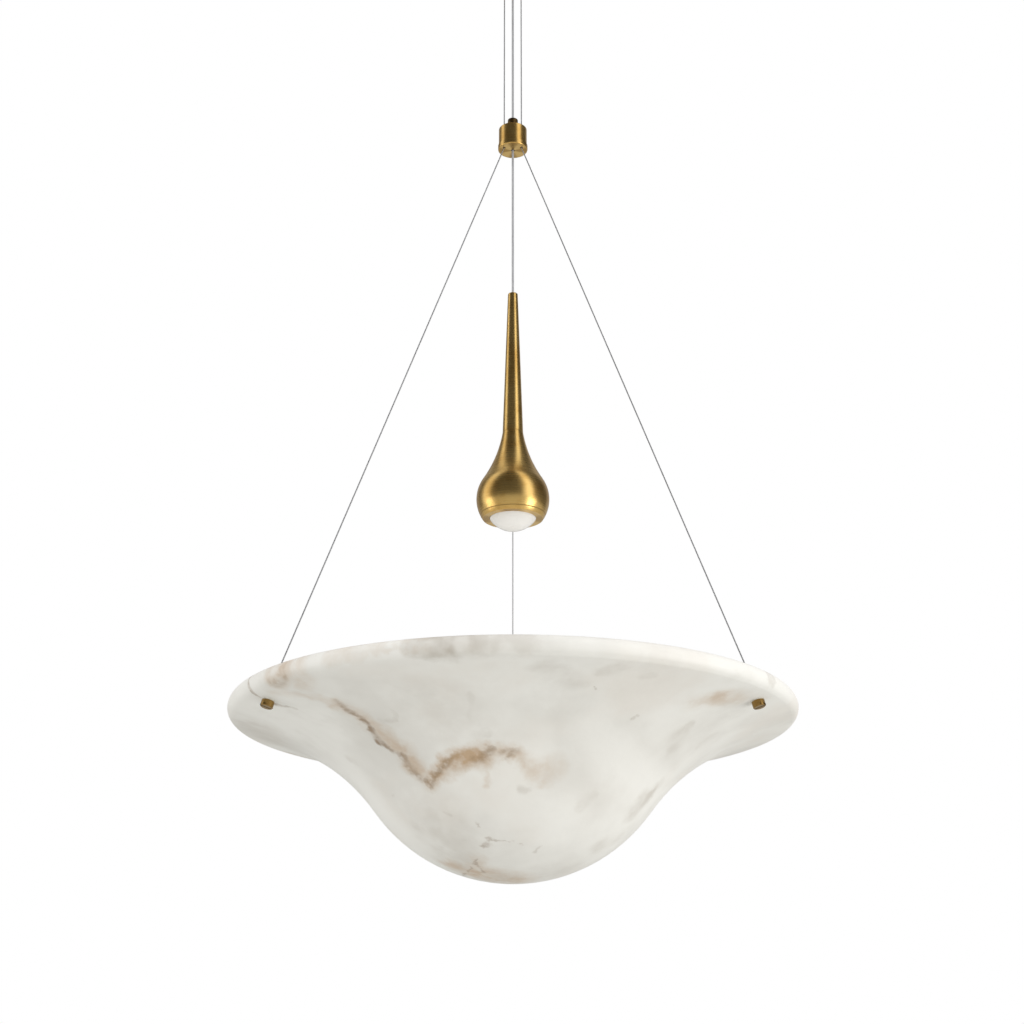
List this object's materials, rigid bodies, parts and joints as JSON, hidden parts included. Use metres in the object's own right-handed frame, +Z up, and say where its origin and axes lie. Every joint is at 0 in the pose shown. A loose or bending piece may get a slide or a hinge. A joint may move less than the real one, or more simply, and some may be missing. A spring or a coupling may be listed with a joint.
{
  "type": "pendant light",
  "caption": "Pendant light: a veined stone bowl hung by wires from a small brass hub under a ceiling canopy, with a brass teardrop spot lamp on its own cable above it.",
  "frame": {"origin": "middle of the pan's face that lies on the ceiling", "axes": "+Z up out of the room into the ceiling; -Y is the side that the picture shows"},
  "size_m": [0.6, 0.6, 1.1976],
  "materials": {
    "brass": "satin, lightly brushed",
    "aged_brass": "darkened brass",
    "zinc_steel": "zinc plated",
    "painted_steel": "matt white",
    "steel_rope": "twisted strands",
    "grey_cable": "smooth sheath",
    "lead_plastic": "smooth sheath",
    "white_plastic": "moulded",
    "nylon": "clear nylon",
    "rubber": "soft",
    "aluminium": "machined",
    "circuit_board": "white mask",
    "led_phosphor": "phosphor",
    "opal_acrylic": "opal, satin",
    "alabaster": "honed, veined"
  },
  "bodies": {
    "canopy": {"ceiling_pan": "painted_steel", "mains_grommet": "rubber", "pillars": "zinc_steel", "carrier_plate": "painted_steel", "carrier_screws": "zinc_steel", "earth_screw": "zinc_steel", "led_driver": "white_plastic", "terminal_block": "white_plastic", "driver_leads": "lead_plastic", "lamp_lead": "grey_cable", "wire_grippers": "brass", "gripper_ends": "brass", "gripper_nuts": "brass", "gripper_springs": "zinc_steel", "wire_tails": "steel_rope", "cord_grip": "brass", "cord_grip_nut": "brass", "grip_screw": "zinc_steel"},
    "cover": {"canopy_cover": "brass", "cover_screws": "brass"},
    "plunger_back": {"plunger_back": "brass", "locking_balls_back": "zinc_steel"},
    "plunger_left": {"plunger_left": "brass", "locking_balls_left": "zinc_steel"},
    "plunger_right": {"plunger_right": "brass", "locking_balls_right": "zinc_steel"},
    "suspension": {"upper_wire_back": "steel_rope", "upper_wire_left": "steel_rope", "upper_wire_right": "steel_rope", "upper_cable": "grey_cable", "hub_body": "brass", "hub_cap": "brass", "hub_gland": "aged_brass", "gland_nut": "brass", "gland_seal": "rubber", "hub_ball_ends": "zinc_steel"},
    "bowl": {"alabaster_bowl": "alabaster", "bowl_bushes": "nylon", "screw_washers": "nylon", "anchor_washers": "nylon", "bowl_screws": "brass", "wire_anchors": "brass", "anchor_ball_ends": "zinc_steel", "lower_wire_back": "steel_rope", "lower_wire_left": "steel_rope", "lower_wire_right": "steel_rope"},
    "drop": {"lower_cable": "grey_cable", "neck_tube": "brass", "cable_clamp": "brass", "neck_nipple": "brass", "bulb_shell": "brass", "bezel_ring": "brass", "opal_lens": "opal_acrylic", "lens_gasket": "rubber", "heatsink": "aluminium", "led_board": "circuit_board", "led_chip": "led_phosphor", "board_screws": "zinc_steel", "reflector": "white_plastic"}
  },
  "joints": [
    {"name": "pendant_swing", "type": "hinge", "parent": "canopy", "child": "suspension", "pos_m": [0, 0, -0.069], "axis": [0, 1, 0], "range_deg": [-4, 4]},
    {"name": "bowl_swing", "type": "hinge", "parent": "suspension", "child": "bowl", "pos_m": [0, 0, -0.326], "axis": [1, 0, 0], "range_deg": [-4, 4]},
    {"name": "drop_swing", "type": "hinge", "parent": "suspension", "child": "drop", "pos_m": [0, 0, -0.326], "axis": [0, 1, 0], "range_deg": [-12, 12]},
    {"name": "cover_slide", "type": "slide", "parent": "canopy", "child": "cover", "axis": [0, 0, -1], "range_m": [0, 0.055]},
    {"name": "release_back", "type": "slide", "parent": "canopy", "child": "plunger_back", "axis": [0, 0, 1], "range_m": [0, 0.002], "stiffness_N_per_m": 400, "springref_m": -0.004, "deforming": ["gripper_springs"]},
    {"name": "release_left", "type": "slide", "parent": "canopy", "child": "plunger_left", "axis": [0, 0, 1], "range_m": [0, 0.002], "stiffness_N_per_m": 400, "springref_m": -0.004, "deforming": ["gripper_springs"]},
    {"name": "release_right", "type": "slide", "parent": "canopy", "child": "plunger_right", "axis": [0, 0, 1], "range_m": [0, 0.002], "stiffness_N_per_m": 400, "springref_m": -0.004, "deforming": ["gripper_springs"]}
  ]
}
